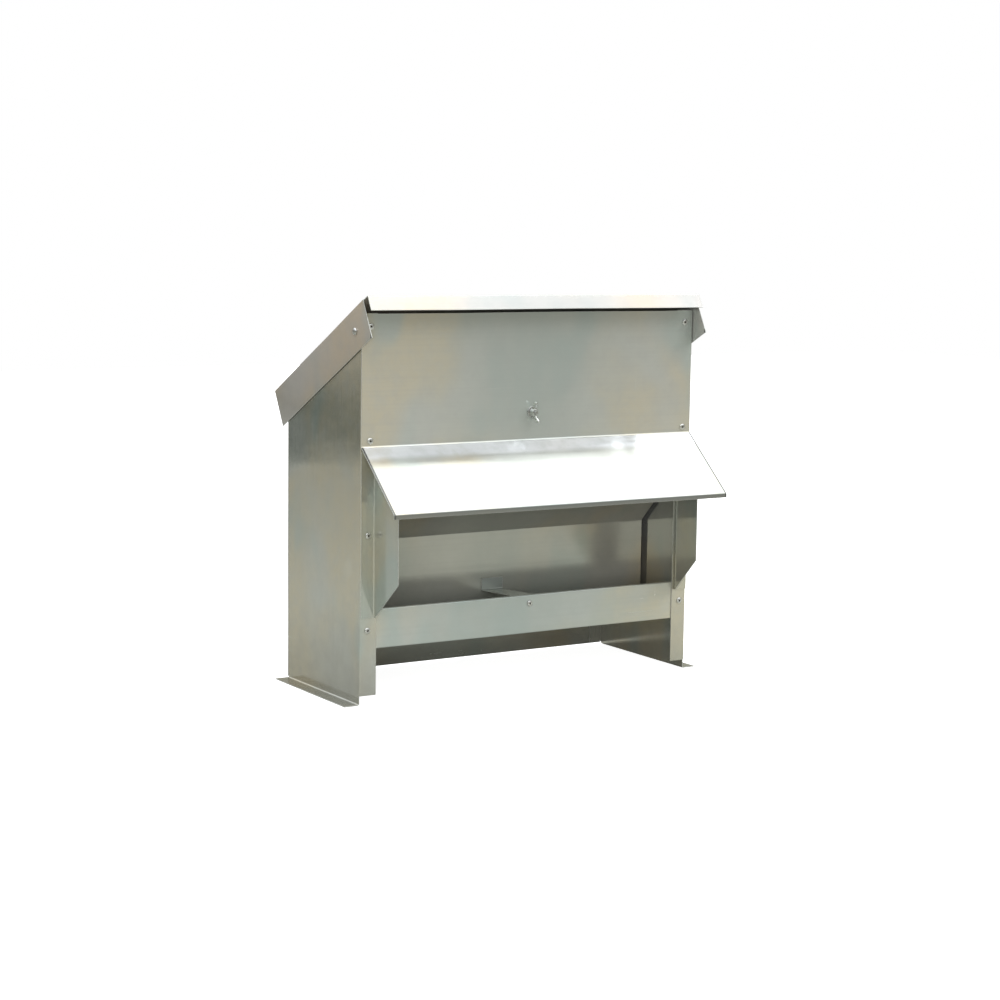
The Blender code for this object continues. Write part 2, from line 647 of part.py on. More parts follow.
clear_scene()
feeder = add_collection("poultry_feeder")
cutters = add_collection("cutters")
ground = add_empty("ground", (0.0, -BOX_CENTRE, 0.0))
lid_pivots = add_empty("lid_pivots", (0.0, PIVOT_DEPTH, PIVOT_HEIGHT), (-LID_PITCH, 0.0, 0.0), ground)
feed_slide = add_empty("feed_slide", (0.0, 0.0, CLAMP_HEIGHT), parent=ground)

panel_part = front_panel()
back_part = back_panel()
trough_part = trough_pan()
brace_part = trough_brace()
plate_part = feed_plate(feed_slide)
lid_part = lid(lid_pivots)
feed_clamp(panel_part)
rivet("rivet_brace", 0.0, TROUGH_RIM_HEIGHT - BRACE_RIVET_BELOW_RIM, BEHIND_FLANGE, [trough_part, brace_part])

for word, side in (("left", -1.0), ("right", 1.0)):
    side_part = side_panel("side_panel_" + word, side)
    guard_part = side_guard("guard_" + word, side)
    lid_pivot(word, side, side_part, lid_part, lid_pivots)
    panel_rivet = side * (HALF_WIDTH - PANEL_RIVET_INSET)
    flange_rivet = side * (HALF_WIDTH - FLANGE_RIVET_INSET)
    back_rivet = side * (HALF_WIDTH - BACK_RIVET_INSET)
    rivet("rivet_front_upper_" + word, panel_rivet, PANEL_TOP - UPPER_RIVET_BELOW_TOP, PANEL_FACE,
          [panel_part, side_part])
    rivet("rivet_front_lower_" + word, panel_rivet, HOOD_FOLD_HEIGHT + LOWER_RIVET_ABOVE_FOLD, PANEL_FACE,
          [panel_part, side_part])
    rivet("rivet_guard_" + word, flange_rivet, GUARD_RIVET_HEIGHT, PANEL_FACE, [side_part, guard_part])
    rivet("rivet_trough_" + word, flange_rivet, TROUGH_RIVET_HEIGHT, 0.0, [side_part, trough_part])
    rivet("rivet_back_lower_" + word, back_rivet, BACK_PANEL_START + BACK_RIVET_MARGIN, BACK_FACE,
          [back_part, side_part], to_back=True)
    rivet("rivet_back_middle_" + word, back_rivet, TROUGH_BACK_HEIGHT + TROUGH_UPSTAND / 2.0, BACK_FACE,
          [back_part, side_part, trough_part], to_back=True)
    rivet("rivet_back_upper_" + word, back_rivet, under_lid(BACK_FACE) - BACK_RIVET_MARGIN, BACK_FACE,
          [back_part, side_part], to_back=True)
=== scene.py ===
import json
import math

import bmesh
import bpy
from mathutils import Matrix, Vector, noise


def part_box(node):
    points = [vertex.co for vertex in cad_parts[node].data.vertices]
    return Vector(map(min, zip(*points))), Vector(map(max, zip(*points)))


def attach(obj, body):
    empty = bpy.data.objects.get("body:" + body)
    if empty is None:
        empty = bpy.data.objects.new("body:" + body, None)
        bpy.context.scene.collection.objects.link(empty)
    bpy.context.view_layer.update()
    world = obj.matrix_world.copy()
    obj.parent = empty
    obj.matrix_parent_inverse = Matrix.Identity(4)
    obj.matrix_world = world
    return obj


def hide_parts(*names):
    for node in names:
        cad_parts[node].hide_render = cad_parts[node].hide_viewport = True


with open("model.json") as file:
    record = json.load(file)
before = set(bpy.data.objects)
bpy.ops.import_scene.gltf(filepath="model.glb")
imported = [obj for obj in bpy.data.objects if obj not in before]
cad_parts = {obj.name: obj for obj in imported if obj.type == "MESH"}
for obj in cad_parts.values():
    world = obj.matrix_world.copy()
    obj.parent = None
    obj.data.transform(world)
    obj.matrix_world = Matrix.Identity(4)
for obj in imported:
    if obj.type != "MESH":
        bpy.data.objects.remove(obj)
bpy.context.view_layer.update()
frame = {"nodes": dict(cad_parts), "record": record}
nodes = frame["nodes"]
bodies = frame["record"]["behaviour"]["bodies"]
slots = {part["node"]: part["material_slot"] for part in frame["record"]["subparts"]}
body_of = {node: body for body, members in bodies.items() for node in members}


# ---------------------------------------------------------------- camera

# The camera stands to the left of the trough side and looks a little down.
CAMERA_YAW = math.radians(31.8675)
CAMERA_PITCH = math.radians(7.1418)
CAMERA_ROLL = math.radians(-0.7436)
CAMERA_LENS = 77.57
CAMERA_FROM_FRONT = Vector((-1.4916, -2.3218, 0.5902))  # from the middle of the side panels' front


def add_camera():
    data = bpy.data.cameras.new("camera")
    data.lens = CAMERA_LENS
    data.clip_start = 0.05
    camera = bpy.data.objects.new("camera", data)
    bpy.context.scene.collection.objects.link(camera)
    ahead = Vector((
        math.sin(CAMERA_YAW) * math.cos(CAMERA_PITCH),
        math.cos(CAMERA_YAW) * math.cos(CAMERA_PITCH),
        -math.sin(CAMERA_PITCH)))
    right = Vector((math.cos(CAMERA_YAW), -math.sin(CAMERA_YAW), 0.0))
    down = ahead.cross(right)
    rolled_right = right * math.cos(CAMERA_ROLL) + down * math.sin(CAMERA_ROLL)
    rolled_down = down * math.cos(CAMERA_ROLL) - right * math.sin(CAMERA_ROLL)
    turn = Matrix((rolled_right, -rolled_down, -ahead)).transposed()
    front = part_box("side_panel_left")[0].y
    place = CAMERA_FROM_FRONT + Vector((0.0, front, 0.0))
    camera.matrix_world = Matrix.Translation(place) @ turn.to_4x4()
    bpy.context.scene.camera = camera


# ---------------------------------------------------------------- node helpers

class Nodes:
    """Short calls to make and join shader nodes."""

    def __init__(self, owner):
        owner.use_nodes = True
        self.tree = owner.node_tree
        self.tree.nodes.clear()

    def add(self, kind, settings=None, **inputs):
        node = self.tree.nodes.new("ShaderNode" + kind)
        for name, value in (settings or {}).items():
            setattr(node, name, value)
        for name, value in inputs.items():
            self.put(node, name.replace("_", " "), value)
        return node

    def put(self, node, socket, value):
        target = node.inputs[socket]
        if isinstance(value, bpy.types.NodeSocket):
            self.tree.links.new(value, target)
        else:
            target.default_value = value

    def mixed(self, factor, low, high):
        """The colour `low` where the factor is 0 and `high` where it is 1."""
        node = self.add("Mix", {"data_type": "RGBA"})
        for socket, value in ((0, factor), (6, low), (7, high)):
            self.put(node, socket, value)
        return node.outputs[2]

    def math(self, operation, first, second):
        node = self.add("Math", {"operation": operation})
        for socket, value in enumerate((first, second)):
            self.put(node, socket, value)
        return node.outputs[0]

    def ranged(self, value, low, high, out_low=0.0, out_high=1.0):
        """A soft step from out_low at `low` to out_high at `high`."""
        node = self.add("MapRange", {"interpolation_type": "SMOOTHSTEP"})
        for socket, value in enumerate((value, low, high, out_low, out_high)):
            self.put(node, socket, value)
        return node.outputs[0]

    def noise(self, place, scale, detail, roughness):
        node = self.add("TexNoise", Vector=place, Scale=scale, Detail=detail, Roughness=roughness)
        return node.outputs[0]

    def stretched(self, place, scales, turn=(0.0, 0.0, 0.0)):
        return self.add("Mapping", Vector=place, Scale=scales, Rotation=turn).outputs[0]

    def from_point(self, operation, vector, point):
        """A vector operation between a varying vector and a fixed one, as a single number."""
        node = self.add("VectorMath", {"operation": operation}, Vector=vector)
        node.inputs[1].default_value = point
        return node.outputs["Value"]

    def principled(self, **inputs):
        surface = self.add("BsdfPrincipled", **inputs)
        self.add("OutputMaterial", Surface=surface.outputs[0])


def new_material(name):
    material = bpy.data.materials.new(name)
    return material, Nodes(material)


def shade(colour, factor):
    return tuple(channel * factor for channel in colour) + (1.0,)


# ---------------------------------------------------------------- materials

GRAIN_FINE = 420.0      # cycles a metre across the rolling grain
GRAIN_LONG = 4.0        # and along it
CLOUD_SCALE = 6.5       # cycles a metre of the wide stains
BLOOM_SCALE = CLOUD_SCALE * 1.7
MOTTLE_SCALE = CLOUD_SCALE * 9.0
SPANGLE_SCALE = 130.0   # zinc crystals a metre
WARM = (1.08, 0.985, 0.84)   # yellowish stain and cool bloom, as shares of the sheet's own colour; COOL also tints the painted shade towards the sheets' middles
COOL = (0.90, 0.985, 1.00)
DUST = (0.33, 0.30, 0.23, 1.0)
# Bright zinc, also used as a painted highlight below the hood's fold.
BRIGHT_ZINC_AND_SHEEN = (0.92, 0.95, 0.98, 1.0)


def tinted(colour, tint, factor=1.0):
    return tuple(channel * share * factor for channel, share in zip(colour, tint)) + (1.0,)


def galvanised(name, colour, rough, grain, dust=0.0, metallic=0.80, bare_and_shaded_ends=None, hood_heights=None):
    """Galvanised sheet: cloudy zinc, rolling grain, faint spangle, hairline scratches and handling marks.

    `bare_and_shaded_ends` is (half width, axis, limit): below the limit on that axis the cut ends are painted
    dark, partly as bare edge and partly as painted shade along the edge.
    `hood_heights` is (height of the hood's fold, height of its lip): below the fold a strip of bright zinc
    with a painted highlight, and painted shade on the lip.
    """
    material, n = new_material(name)
    place = n.add("TexCoord").outputs["Object"]
    axes = n.add("SeparateXYZ", Vector=place).outputs
    along = {"X": (GRAIN_LONG, GRAIN_FINE, GRAIN_FINE), "Z": (GRAIN_FINE, GRAIN_FINE, GRAIN_LONG)}[grain]
    grains = n.noise(n.stretched(place, along), 1.0, 4.0, 0.6)
    across = n.math("ABSOLUTE", axes["X"], 0.0)
    towards_ends = n.ranged(across, 0.06, 0.24, -0.05, 0.09)
    clouds = n.math("ADD", n.noise(place, CLOUD_SCALE, 2.0, 0.5), towards_ends)
    bloom = n.noise(n.stretched(place, (1.0, 1.0, 0.55), (0.0, 0.0, 1.3)), BLOOM_SCALE, 2.0, 0.5)
    mottle = n.noise(place, MOTTLE_SCALE, 3.0, 0.6)
    spangle = n.add("TexVoronoi", Vector=place, Scale=SPANGLE_SCALE).outputs["Color"]
    crystal = n.add("SeparateColor", Color=spangle).outputs[0]
    smear = n.noise(n.stretched(place, (3.0, 3.0, 14.0), (0.2, 0.5, 0.0)), 1.5, 4.0, 0.6)

    plain = shade(colour, 1.0)
    warmed = n.mixed(n.ranged(clouds, 0.46, 0.66), plain, tinted(colour, WARM))
    cooled = n.mixed(n.ranged(bloom, 0.50, 0.66, 0.0, 0.9), warmed, tinted(colour, COOL, 0.95))
    mottled = n.mixed(n.ranged(mottle, 0.35, 0.75, 0.0, 0.40), cooled, shade(colour, 0.90))
    crystals = n.mixed(n.math("MULTIPLY", crystal, 0.12), mottled, shade(colour, 1.12))
    grained = n.mixed(n.ranged(grains, 0.40, 0.70, 0.0, 0.14), crystals, shade(colour, 0.80))

    steep = n.stretched(place, (150.0, 9.0, 9.0), (0.0, 0.55, 0.2))
    level = n.stretched(place, (7.0, 7.0, 230.0), (0.1, 0.25, 0.3))
    lines = n.ranged(n.noise(level, 1.0, 2.0, 0.5), 0.71, 0.76)
    strokes = n.ranged(n.noise(steep, 1.0, 2.0, 0.5), 0.73, 0.78)
    handled = n.ranged(n.noise(place, 5.5, 2.0, 0.5), 0.50, 0.64)
    scratches = n.math("MULTIPLY", n.math("MAXIMUM", lines, strokes), handled)
    scratched = n.mixed(n.math("MULTIPLY", scratches, 0.35), grained, shade(colour, 1.25))

    near_ground = n.ranged(axes["Z"], 0.0, 0.16, 1.0, 0.0)
    low = n.math("MULTIPLY", near_ground, n.ranged(mottle, 0.25, 0.75, 0.4, 1.0))
    finish = n.mixed(n.math("MULTIPLY", low, dust), scratched, DUST)
    # Painted shade: each sheet is painted darker and cooler towards the middle of its width, patchy with the
    # bloom.
    at_middle = n.ranged(across, 0.02, 0.21, 0.55, 0.0)
    middle_shade = n.math("MULTIPLY", at_middle, n.ranged(bloom, 0.35, 0.60, 0.6, 1.0))
    finish = n.mixed(middle_shade, finish, tinted(colour, COOL, 0.80))
    if hood_heights is not None:
        fold, lip = hood_heights
        # Below the hood's fold: a strip of bright zinc, partly worn zinc and partly a painted highlight that
        # lifts its reflection.
        below = n.math("SUBTRACT", fold, axes["Z"])
        strip = n.math("MULTIPLY", n.ranged(below, 0.0005, 0.002), n.ranged(below, 0.01, 0.018, 1.0, 0.0))
        fold_wear_and_sheen = n.math("MULTIPLY", strip, n.ranged(mottle, 0.3, 0.6, 0.75, 1.0))
        finish = n.mixed(fold_wear_and_sheen, finish, BRIGHT_ZINC_AND_SHEEN)
        # Painted shade: the hood's upright lip is painted dark.
        lip_shade = n.ranged(axes["Z"], lip - 0.0006, lip + 0.0002, 0.85, 0.0)
        finish = n.mixed(lip_shade, finish, shade(colour, 0.30))
    # Painted shade along the cut ends: a dark strip drawn in from the sheet's edge, partly bare edge and
    # partly the edge's shade.
    if bare_and_shaded_ends is not None:
        half_width, axis, limit = bare_and_shaded_ends
        rim = n.ranged(across, half_width - 0.0030, half_width - 0.0018, 0.0, 0.97)
        ends = n.math("MULTIPLY", rim, n.ranged(axes[axis], limit - 0.001, limit, 1.0, 0.0))
        finish = n.mixed(ends, finish, shade(colour, 0.20))

    matt = n.math("ADD", n.ranged(smear, 0.3, 0.7, -0.03, 0.05), n.ranged(grains, 0.3, 0.7, -0.02, 0.03))
    marked = n.math("ADD", n.math("MULTIPLY", scratches, 0.10), n.math("MULTIPLY", crystal, 0.02))
    dusty = n.math("ADD", n.math("MULTIPLY", low, 0.25 * dust), rough)
    roughness = n.math("ADD", n.math("ADD", matt, marked), dusty)

    relief = n.math("ADD", n.math("MULTIPLY", grains, 0.4), n.math("MULTIPLY", scratches, -0.7))
    relief = n.math("ADD", relief, n.math("MULTIPLY", mottle, 0.6))
    bump = n.add("Bump", Height=relief, Strength=0.06, Distance=0.0006)
    n.principled(Base_Color=finish, Metallic=metallic, Roughness=roughness, Normal=bump.outputs[0])
    return material


def sheared_edge():
    """The cut rim of the sheet: rough, finely torn zinc and steel with stains."""
    material, n = new_material("cut_edge")
    place = n.add("TexCoord").outputs["Object"]
    tears = n.noise(n.stretched(place, (900.0, 900.0, 900.0)), 1.0, 3.0, 0.6)
    clouds = n.noise(place, 40.0, 3.0, 0.6)
    base = n.mixed(n.ranged(tears, 0.35, 0.7), (0.42, 0.43, 0.40, 1.0), (0.60, 0.61, 0.58, 1.0))
    stained = n.mixed(n.ranged(clouds, 0.5, 0.7, 0.0, 0.5), base, (0.34, 0.33, 0.29, 1.0))
    n.principled(Base_Color=stained, Metallic=0.6, Roughness=n.ranged(tears, 0.3, 0.7, 0.30, 0.50))
    return material


def fastener_metal(name, colour, rough):
    """Zinc plate or aluminium on small pieces: fine mottling and faint yellowish patches."""
    material, n = new_material(name)
    place = n.add("TexCoord").outputs["Object"]
    mottle = n.noise(place, 900.0, 3.0, 0.6)
    clouds = n.noise(place, 160.0, 2.0, 0.5)
    base = n.mixed(n.ranged(mottle, 0.35, 0.7), shade(colour, 0.82), shade(colour, 1.10))
    yellowed = tinted(colour, (1.0, 0.96, 0.85), 0.8)
    stained = n.mixed(n.ranged(clouds, 0.5, 0.75, 0.0, 0.5), base, yellowed)
    bump = n.add("Bump", Height=mottle, Strength=0.15, Distance=0.0002)
    roughness = n.ranged(mottle, 0.3, 0.7, rough - 0.05, rough + 0.08)
    n.principled(Base_Color=stained, Metallic=1.0, Roughness=roughness, Normal=bump.outputs[0])
    return material


def dark_mouth():
    """The inside of a rivet's mouth: oxidised mandrel steel."""
    material, n = new_material("mandrel")
    place = n.add("TexCoord").outputs["Object"]
    rust = n.noise(place, 1500.0, 3.0, 0.6)
    base = n.mixed(n.ranged(rust, 0.4, 0.7), (0.030, 0.026, 0.022, 1.0), (0.075, 0.055, 0.040, 1.0))
    n.principled(Base_Color=base, Metallic=0.4, Roughness=n.ranged(rust, 0.3, 0.7, 0.5, 0.8))
    return material


def middle_of(node):
    low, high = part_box(node)
    return (low + high) / 2.0


RIVET_TO_FOLD = 0.007   # from the front panel's lower rivets down to the hood's fold
HOOD_LIP = 0.0056       # height of the hood's upright lip
LID_LIP_DEPTH = 0.004   # from the face of the lid's front lip backwards

hood_fold = middle_of("rivet_front_lower_left").z - RIVET_TO_FOLD
panel_low, panel_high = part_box("front_panel")
lid_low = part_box("lid")[0]

materials = {
    "side_sheet": galvanised("side_sheet", (0.56, 0.57, 0.535), 0.07, "Z", dust=0.25),
    "front_sheet": galvanised(
        "front_sheet", (0.60, 0.61, 0.57), 0.115, "X", metallic=0.70,
        bare_and_shaded_ends=(panel_high.x, "Z", hood_fold), hood_heights=(hood_fold, panel_low.z + HOOD_LIP)),
    "back_sheet": galvanised("back_sheet", (0.46, 0.46, 0.42), 0.19, "X", dust=0.10),
    "trough_sheet": galvanised("trough_sheet", (0.47, 0.49, 0.455), 0.17, "X", dust=0.10, metallic=0.50),
    "feed_plate_sheet": galvanised("feed_plate_sheet", (0.54, 0.53, 0.47), 0.17, "X", metallic=0.55),
    "guard_sheet": galvanised("guard_sheet", (0.49, 0.51, 0.475), 0.075, "Z", metallic=0.70),
    "lid_sheet": galvanised(
        "lid_sheet", (0.60, 0.575, 0.545), 0.14, "X", metallic=0.65,
        bare_and_shaded_ends=(-lid_low.x, "Y", lid_low.y + LID_LIP_DEPTH)),
    "zinc_casting": fastener_metal("zinc_casting", (0.74, 0.75, 0.73), 0.24),
    "zinc_fastener": fastener_metal("zinc_fastener", (0.58, 0.58, 0.57), 0.26),
    "rivet_metal": fastener_metal("rivet_metal", (0.80, 0.80, 0.78), 0.24),
    "mandrel": dark_mouth(),
    "cut_edge": sheared_edge(),
}


# ---------------------------------------------------------------- sheets

WAVE_HEIGHT = 0.00045   # how far a panel wanders from flat
WAVE_SCALE = 5.5        # waves a metre
GRID = 0.020            # spacing of the cuts that let a panel bend
RIM_ROUND = 0.00022     # on the sheared rims
RIM_ANGLE = math.radians(60.0)
RIM_SHARE = 0.9         # of a rim face's border lies on sharp edges
RIM_WIDTH = 0.0014      # no rim face is wider
SMOOTH_BELOW = math.radians(38.0)
WELD = 0.000002         # merges the doubled corners of the faceted solids
CUT_SNAP = 0.00002      # a grid cut this close to a corner uses the corner
STILL_WITHIN = 0.012    # of a moving joint nothing bends, and beyond FREE_BEYOND everything does
FREE_BEYOND = 0.060
WAVE_SEED = 1
JOINT_NODES = ("wing_nut", "pivot_bolt_left", "pivot_bolt_right")
joint_middles = [middle_of(node) for node in JOINT_NODES]
noise.seed_set(WAVE_SEED)   # without it every run would bend the sheets differently


def waved(point):
    """Every sheet bends by the same smooth field, so that touching pieces stay together."""
    nearest = min((point - middle).length for middle in joint_middles)
    share = min(max((nearest - STILL_WITHIN) / (FREE_BEYOND - STILL_WITHIN), 0.0), 1.0)
    field = noise.noise_vector(point * WAVE_SCALE)
    swell = noise.noise_vector(point * WAVE_SCALE * 2.3 + Vector((3.7, 1.1, 5.3)))
    return point + (field + swell * 0.25) * WAVE_HEIGHT * share


def along_axis(axis):
    direction = Vector((0.0, 0.0, 0.0))
    direction[axis] = 1.0
    return direction


def cut_to_grid(bm, spacing):
    for axis in range(3):
        low = min(vert.co[axis] for vert in bm.verts)
        high = max(vert.co[axis] for vert in bm.verts)
        normal = along_axis(axis)
        for step in range(math.ceil(low / spacing), math.floor(high / spacing) + 1):
            everything = bm.verts[:] + bm.edges[:] + bm.faces[:]
            place = normal * step * spacing
            bmesh.ops.bisect_plane(bm, geom=everything, plane_co=place, plane_no=normal, dist=CUT_SNAP)


def add_piece(name, bm, node, others=()):
    """Put a finished mesh in the place of its CAD node; `others` are its further materials."""
    mesh = bpy.data.meshes.new(name)
    bm.to_mesh(mesh)
    bm.free()
    mesh.shade_smooth()
    mesh.set_sharp_from_angle(angle=SMOOTH_BELOW)
    piece = bpy.data.objects.new(name, mesh)
    bpy.context.scene.collection.objects.link(piece)
    for material in (slots[node], *others):
        mesh.materials.append(materials[material])
    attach(piece, body_of[node])
    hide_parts(node)
    return piece


def is_rim(face, rims):
    """True for the narrow wall that the shears left along the sheet's edge."""
    border = sum(edge.calc_length() for edge in face.edges)
    along = sum(edge.calc_length() for edge in face.edges if edge in rims)
    return along > RIM_SHARE * border and face.calc_area() < RIM_WIDTH / 2.0 * border


def cleaned_copy(node, flat_within):
    """The CAD solid with its doubled corners merged and its flat facets joined."""
    bm = bmesh.new()
    bm.from_mesh(nodes[node].data)
    bmesh.ops.remove_doubles(bm, verts=bm.verts, dist=WELD)
    bmesh.ops.dissolve_limit(bm, angle_limit=math.radians(flat_within), verts=bm.verts, edges=bm.edges)
    return bm


def edges_sharper(bm, angle):
    return [edge for edge in bm.edges if len(edge.link_faces) == 2 and edge.calc_face_angle() > angle]


def detailed_sheet(node):
    """The CAD sheet with rounded, bare rims and the slight waviness of real panels."""
    bm = cleaned_copy(node, 0.5)
    rims = edges_sharper(bm, RIM_ANGLE)
    sharp = set(rims)
    for face in bm.faces:
        face.material_index = 1 if is_rim(face, sharp) else 0
    bmesh.ops.bevel(
        bm, geom=rims, offset=RIM_ROUND, segments=2, profile=0.5, affect="EDGES", material=1,
        clamp_overlap=True)
    cut_to_grid(bm, GRID)
    for vert in bm.verts:
        vert.co = waved(vert.co)
    piece = add_piece(node + "_sheet", bm, node, ("cut_edge",))
    weighted = piece.modifiers.new("normals", "WEIGHTED_NORMAL")
    weighted.keep_sharp = True
    weighted.weight = 100


# ---------------------------------------------------------------- turned hardware

SIDES = 40              # of each turned solid
TURNS = [2.0 * math.pi * i / SIDES for i in range(SIDES)]
RIVET_HEAD = 0.0015     # height
RIVET_SHANK = 0.0020    # radii of the shank, the bulb set behind the sheets and the mouth
RIVET_BULB = 0.0029
RIVET_MOUTH = 0.00135
RIVET_TAIL = 0.0040     # length of the set bulb
BOLT_RADIUS = 0.0025    # M5 bolts throughout
THREAD_PITCH = 0.0008
BORE_PLAY = 0.0003      # between a bolt and its washer
ON_AXIS = 1e-7


def lathe(bm, profile, material=0):
    """Turn (radius, height) points about Z, down the outer side, into a closed solid."""
    rings = []
    for radius, height in profile:
        if radius < ON_AXIS:
            rings.append([bm.verts.new((0.0, 0.0, height))])
            continue
        rings.append([bm.verts.new((radius * math.cos(t), radius * math.sin(t), height)) for t in TURNS])
    for upper, lower in zip(rings, rings[1:]):
        for i in range(SIDES):
            j = (i + 1) % SIDES
            corners = (
                upper[i % len(upper)], lower[i % len(lower)],
                lower[j % len(lower)], upper[j % len(upper)])
            unique = list(dict.fromkeys(corners))
            if len(unique) > 2:
                bm.faces.new(unique).material_index = material


def quarter(steps):
    """Angles from 0 to 90 degrees."""
    return [math.radians(90.0 * i / steps) for i in range(steps + 1)]


def placed(bm, origin, outward):
    """Turn a solid made along Z to point outward from its origin."""
    turn = Vector((0.0, 0.0, 1.0)).rotation_difference(Vector(outward)).to_matrix().to_4x4()
    bmesh.ops.transform(bm, matrix=Matrix.Translation(origin) @ turn, verts=bm.verts)


def blind_rivet(node):
    """Domed flange, mouth with the broken mandrel in it, shank and the folded bulb behind."""
    low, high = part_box(node)
    middle = middle_of(node)
    to_back = node.startswith("rivet_back")
    outward = Vector((0.0, 1.0 if to_back else -1.0, 0.0))
    radius = (high.x - low.x) / 2.0
    end = RIVET_HEAD - (high.y - low.y)
    tip = Vector((middle.x, high.y if to_back else low.y, middle.z))
    mouth = RIVET_MOUTH
    depth = RIVET_HEAD - 0.0009
    crown = mouth + 0.00015
    rim = 0.0003
    profile = [(mouth, depth), (mouth, RIVET_HEAD - 0.0001)]
    profile += [
        (crown + (radius - crown) * math.sin(a), rim + (RIVET_HEAD - rim) * math.cos(a)) for a in quarter(8)]
    profile += [(radius, 0.0001), (radius - 0.0001, 0.0), (RIVET_SHANK, 0.0), (RIVET_SHANK, end + RIVET_TAIL)]
    profile += [
        (RIVET_BULB - 0.0003, end + RIVET_TAIL), (RIVET_BULB, end + RIVET_TAIL - 0.0003),
        (RIVET_BULB, end + 0.0024), (RIVET_BULB * 0.86, end + 0.0011), (RIVET_BULB * 0.62, end + 0.0003),
        (RIVET_BULB * 0.3, end), (0.0, end)]
    broken_pin = [(0.0, depth + 0.0004), (mouth * 0.5, depth + 0.0003), (mouth * 0.62, depth), (mouth, depth)]
    bm = bmesh.new()
    lathe(bm, broken_pin, material=1)
    lathe(bm, profile)
    bmesh.ops.remove_doubles(bm, verts=bm.verts, dist=0.00001)
    placed(bm, waved(tip - outward * RIVET_HEAD), outward)
    add_piece(node + "_set", bm, node, ("mandrel",))


def thread(radius, start, end):
    """Crests and roots of a thread from start down to end."""
    points = []
    turns = int((start - end) / THREAD_PITCH)
    root = radius - 0.30 * THREAD_PITCH
    for i in range(turns):
        height = start - i * THREAD_PITCH
        points += [(radius, height), (radius, height - 0.12 * THREAD_PITCH)]
        points.append((root, height - 0.55 * THREAD_PITCH))
    return points + [(radius, start - turns * THREAD_PITCH)]


def turned_piece(node, name, profile, origin, outward):
    bm = bmesh.new()
    lathe(bm, profile)
    bmesh.ops.remove_doubles(bm, verts=bm.verts, dist=0.000005)
    placed(bm, origin, outward)
    add_piece(name, bm, node)


def plain_washer(node, axis):
    """Flat ring with rolled-over punched edges."""
    bore = BOLT_RADIUS + BORE_PLAY
    low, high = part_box(node)
    size = high - low
    half = size[axis] / 2.0
    outer = size.z / 2.0
    edge = half * 0.45
    profile = [
        (outer - edge, half), (outer - edge * 0.3, half - edge * 0.3), (outer, half - edge),
        (outer, edge - half), (outer - edge, -half), (bore + edge, -half), (bore, edge - half),
        (bore, half - edge), (bore + edge * 0.3, half - edge * 0.3), (bore + edge, half),
        (outer - edge, half),
    ]
    turned_piece(node, node + "_ring", profile, waved((low + high) / 2.0), along_axis(axis))


def round_head(radius, height):
    """Low dome with a small upright rim, from its tip down to its seat."""
    rim = height * 0.12
    curve = [(radius * math.sin(a), rim + (height - rim) * math.cos(a)) for a in quarter(10)]
    return curve + [(radius - rim * 0.5, 0.0)]


def bolt(node, axis, outward, head_height, threaded):
    """Round-headed bolt; its box gives the head's width and the length, `threaded` runs from its tip."""
    low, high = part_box(node)
    head_radius = (high.z - low.z) / 2.0
    length = (high - low)[axis]
    shank = length - head_height
    seat = middle_of(node)
    seat[axis] = (high[axis] - head_height) if outward[axis] > 0.0 else (low[axis] + head_height)
    chamfer = 0.0005
    profile = round_head(head_radius, head_height)
    profile += [(BOLT_RADIUS, 0.0)]
    profile += thread(BOLT_RADIUS, threaded - shank, chamfer - shank)
    profile += [(BOLT_RADIUS - chamfer, -shank), (0.0, -shank)]
    turned_piece(node, node + "_turned", profile, waved(seat), outward)


def softened(node, voxel, rounds):
    """A cast or forged piece: the CAD solid with its corners rounded over."""
    copy = bpy.data.objects.new(node + "_soft", nodes[node].data.copy())
    bpy.context.scene.collection.objects.link(copy)
    remesh = copy.modifiers.new("voxels", "REMESH")
    remesh.mode = "VOXEL"
    remesh.voxel_size = voxel
    relax = copy.modifiers.new("relax", "SMOOTH")
    relax.factor = 0.5
    relax.iterations = rounds
    bpy.context.view_layer.update()
    shaped = copy.evaluated_get(bpy.context.evaluated_depsgraph_get())
    bm = bmesh.new()
    bm.from_mesh(shaped.to_mesh())
    shaped.to_mesh_clear()
    bpy.data.objects.remove(copy, do_unlink=True)
    drift = waved(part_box(node)[0]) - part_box(node)[0]
    bmesh.ops.translate(bm, verts=bm.verts, vec=drift)
    add_piece(node + "_cast", bm, node)


def chamfered(node, width):
    """A pressed nut: the CAD solid with its corners broken."""
    bm = cleaned_copy(node, 1.0)
    corners = edges_sharper(bm, math.radians(40.0))
    bmesh.ops.bevel(
        bm, geom=corners, offset=width, segments=2, profile=0.6, affect="EDGES", clamp_overlap=True)
    add_piece(node + "_hex", bm, node)


for node, slot in slots.items():
    if slot.endswith("_sheet"):
        detailed_sheet(node)
    elif slot == "rivet_metal":
        blind_rivet(node)

X_AXIS, Y_AXIS = 0, 1
for side, outward in (("left", -along_axis(X_AXIS)), ("right", along_axis(X_AXIS))):
    bolt("pivot_bolt_" + side, X_AXIS, outward, head_height=0.0030, threaded=0.0070)
    plain_washer("pivot_washer_" + side, X_AXIS)
    chamfered("pivot_nut_" + side, 0.0004)
bolt("feed_bolt", Y_AXIS, along_axis(Y_AXIS), head_height=0.0028, threaded=0.0100)
plain_washer("feed_washer_inner", Y_AXIS)
plain_washer("feed_washer_outer", Y_AXIS)
softened("wing_nut", voxel=0.00032, rounds=6)


# ---------------------------------------------------------------- studio

